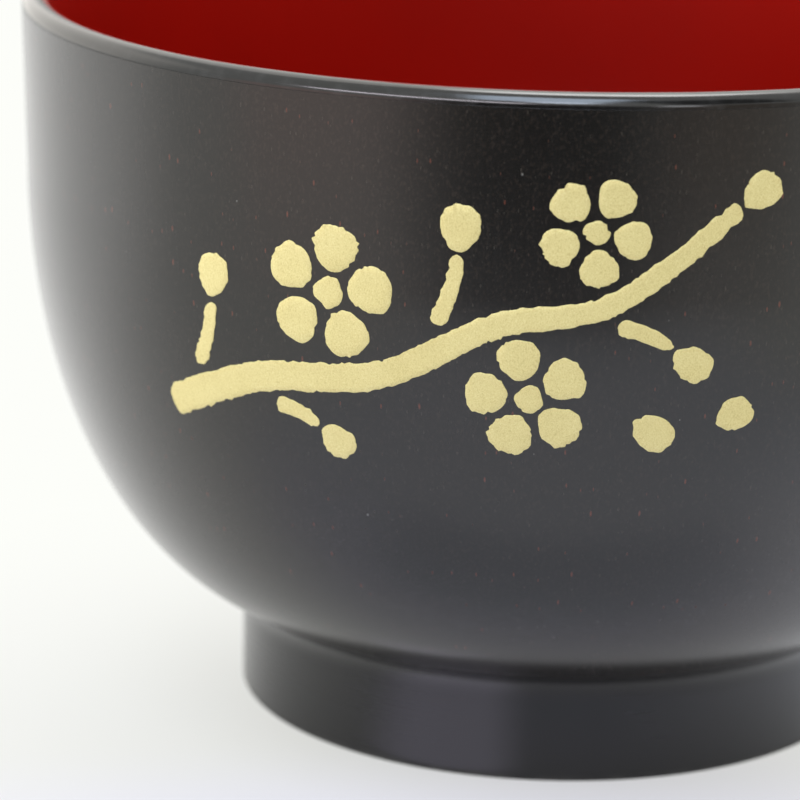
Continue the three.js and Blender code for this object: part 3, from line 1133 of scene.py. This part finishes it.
def floor_paper(stage):
    """Pale paper that keeps the bowl's shadow close by and fades to the white backdrop further out, with a
    painted cool blue shade in front of the bowl.
    """
    work = Lacquer("floor_paper")
    sockets = {0: work.place, 1: stage.fade_centre}
    distance = work.nodes.add("ShaderNodeVectorMath", {"operation": "DISTANCE"}, sockets, "Value")
    spread = work.ramp(distance, stage.fade_start, stage.fade_end)
    fade = stage.fade_least + spread * (1.0 - stage.fade_least)
    # Painted cool blue shade in front of the bowl, strongest near it, in both the paper and the white that
    # it shows
    forward = work.along("X") * FRONT_RIGHT - work.along("Y") * FRONT_FORWARD
    front = work.ramp(forward, FRONT_START, FRONT_FULL) * (1.0 - spread)
    paper = work.mix(front, stage.floor_colour, stage.front_shade_colour)
    paper = work.mix(work.noise(700.0, detail=4.0) * FIBRE_SHARE, paper, FIBRE)
    tone = work.mix(front, stage.backdrop_colour, stage.front_shade_white)
    matte = work.nodes.add("ShaderNodeBsdfDiffuse", sockets={"Color": paper})
    white = work.nodes.add("ShaderNodeEmission", sockets={"Color": tone, "Strength": 1.0})
    fade *= seen_rays(work.nodes)
    shader = work.nodes.add("ShaderNodeMixShader", sockets={0: fade, 1: matte, 2: white})
    work.nodes.add("ShaderNodeOutputMaterial", sockets={"Surface": shader})
    return work.material


def card_glow(card):
    """The even glow of a card, which fades out along its edges."""
    work = Lacquer(f"{card.name}_glow")
    half_width, half_height = card.size[0] / 2, card.size[1] / 2
    left, right, lower, upper = card.soft
    across, up = work.along("X"), work.along("Y")
    sides = work.ramp(across, -half_width, left - half_width)
    sides *= work.ramp(across, half_width, half_width - right)
    ends = work.ramp(up, -half_height, lower - half_height)
    ends *= work.ramp(up, half_height, half_height - upper)
    clear = work.nodes.add("ShaderNodeBsdfTransparent")
    sockets = {"Color": rgba(card.colour), "Strength": card.radiance}
    glow = work.nodes.add("ShaderNodeEmission", sockets=sockets)
    shader = work.nodes.add("ShaderNodeMixShader", sockets={0: sides * ends, 1: clear, 2: glow})
    work.nodes.add("ShaderNodeOutputMaterial", sockets={"Surface": shader})
    return work.material


def stage_sheet(name, width, depth, material):
    """A flat sheet of the stage, level and centred until it is placed."""
    x, y = width / 2, depth / 2
    mesh = bpy.data.meshes.new(name)
    mesh.from_pydata([(-x, -y, 0.0), (x, -y, 0.0), (x, y, 0.0), (-x, y, 0.0)], [], [(0, 1, 2, 3)])
    mesh.materials.append(material)
    sheet = bpy.data.objects.new(name, mesh)
    bpy.context.scene.collection.objects.link(sheet)
    return sheet


class SOUPBOWL_OT_stage(bpy.types.Operator):
    """Set the floor, the light and the camera"""

    bl_idname = "soup_bowl.stage"
    bl_label = "Stage"

    def execute(self, context):
        scene = context.scene
        stage = scene.bowl_stage
        self.heading = Matrix.Rotation(stage.heading, 4, "Z")
        stage_sheet("floor", FLOOR_REACH * 2, FLOOR_REACH * 2, floor_paper(stage))
        for card in CARDS:
            self.stand(card)
        for box in SOFT_BOXES:
            self.hang(box, getattr(stage, box.light))
        self.surroundings(scene, stage)
        self.camera(scene, stage)
        scene.view_settings.view_transform = "Standard"
        return {"FINISHED"}

    def stand(self, card):
        """Sets up a card where only reflections see it."""
        sheet = stage_sheet(card.name, *card.size, card_glow(card))
        around = Matrix.Rotation(math.radians(card.turn), 4, "Z")
        over = Matrix.Rotation(math.radians(card.tilt), 4, "X")
        sheet.matrix_world = self.heading @ Matrix.Translation(card.place) @ around @ over
        sheet.visible_camera = False
        sheet.visible_diffuse = False
        sheet.visible_shadow = False

    def hang(self, box, radiance):
        """Hangs a soft box so that it faces the bowl. Its own gleam is left to the cards."""
        lamp = bpy.data.lights.new(box.name, "AREA")
        lamp.shape = "RECTANGLE"
        lamp.size, lamp.size_y = box.size
        lamp.energy = radiance * math.pi * box.size[0] * box.size[1]
        lamp.color = box.colour
        hung = bpy.data.objects.new(box.name, lamp)
        hung.location = self.heading @ Vector(box.place)
        aim = LIGHT_AIM - hung.location
        hung.rotation_euler = aim.to_track_quat("-Z", "Y").to_euler()
        hung.visible_camera = False
        hung.visible_glossy = False
        bpy.context.scene.collection.objects.link(hung)

    def surroundings(self, scene, stage):
        """An even light from all round that is seen as white."""
        world = bpy.data.worlds.new("studio")
        world.use_nodes = True
        scene.world = world
        nodes = Nodes(world.node_tree)
        strength = stage.world_light + seen_rays(nodes) * (1.0 - stage.world_light)
        sockets = {"Color": rgba(stage.backdrop_colour), "Strength": strength}
        light = nodes.add("ShaderNodeBackground", sockets=sockets)
        nodes.add("ShaderNodeOutputWorld", sockets={"Surface": light})

    def camera(self, scene, stage):
        """The camera at the photograph's place."""
        data = bpy.data.cameras.new("camera")
        data.sensor_width = SENSOR_WIDTH
        data.lens = stage.focal_length
        data.clip_start, data.clip_end = CAMERA_SIGHT
        camera = bpy.data.objects.new("camera", data)
        pitch = Matrix.Rotation(math.pi / 2 - stage.camera_pitch, 4, "X")
        roll = Matrix.Rotation(stage.camera_roll, 4, "Z")
        camera.matrix_world = self.heading @ Matrix.Translation(stage.camera_place) @ pitch @ roll
        scene.collection.objects.link(camera)
        scene.camera = camera
        self.focus(scene, camera, stage)

    def focus(self, scene, camera, stage):
        """Keeps the side of the bowl that the camera faces sharp."""
        mark = bpy.data.objects.new("focus_mark", None)
        scene.collection.objects.link(mark)
        mark.constraints.new("COPY_LOCATION").target = camera
        leash = mark.constraints.new("LIMIT_DISTANCE")
        leash.target = bpy.data.objects["floor"]
        leash.distance = stage.focus_reach
        leash.limit_mode = "LIMITDIST_INSIDE"
        camera.data.dof.use_dof = True
        camera.data.dof.focus_object = mark
        camera.data.dof.aperture_fstop = stage.f_number


STEPS = (
    SOUPBOWL_OT_core,
    SOUPBOWL_OT_outer_coat,
    SOUPBOWL_OT_lip_coat,
    SOUPBOWL_OT_inner_coat,
    SOUPBOWL_OT_foot,
    SOUPBOWL_OT_gilt_branch,
    SOUPBOWL_OT_gilt_blossoms,
    SOUPBOWL_OT_stage,
)
GROUPS = {
    "bowl_form": BowlForm,
    "spray_form": SprayForm,
    "bowl_finish": BowlFinish,
    "bowl_stage": BowlStage,
}


class SOUPBOWL_PT_panel(bpy.types.Panel):
    """Lists the bowl's steps and the sizes and colours that they use."""

    bl_label = "Soup Bowl"
    bl_idname = "SOUPBOWL_PT_panel"
    bl_space_type = "VIEW_3D"
    bl_region_type = "UI"
    bl_category = "Soup Bowl"

    def draw(self, context):
        for step in STEPS:
            self.layout.operator(step.bl_idname)
        for name, group in GROUPS.items():
            box = self.layout.box()
            for key in group.__annotations__:
                box.prop(getattr(context.scene, name), key)


def register():
    """Adds the sizes, colours, steps and panel to Blender."""
    for name, group in GROUPS.items():
        bpy.utils.register_class(group)
        setattr(bpy.types.Scene, name, PointerProperty(type=group))
    for step in STEPS:
        bpy.utils.register_class(step)
    bpy.utils.register_class(SOUPBOWL_PT_panel)


def unregister():
    """Takes them out again."""
    bpy.utils.unregister_class(SOUPBOWL_PT_panel)
    for step in reversed(STEPS):
        bpy.utils.unregister_class(step)
    for name, group in reversed(GROUPS.items()):
        delattr(bpy.types.Scene, name)
        bpy.utils.unregister_class(group)


def main():
    """Builds the bowl and its stage."""
    register()
    bpy.ops.soup_bowl.core()
    bpy.ops.soup_bowl.outer_coat()
    bpy.ops.soup_bowl.lip_coat()
    bpy.ops.soup_bowl.inner_coat()
    bpy.ops.soup_bowl.foot()
    bpy.ops.soup_bowl.gilt_branch()
    bpy.ops.soup_bowl.gilt_blossoms()
    bpy.ops.soup_bowl.stage()


if __name__ == "__main__":
    main()
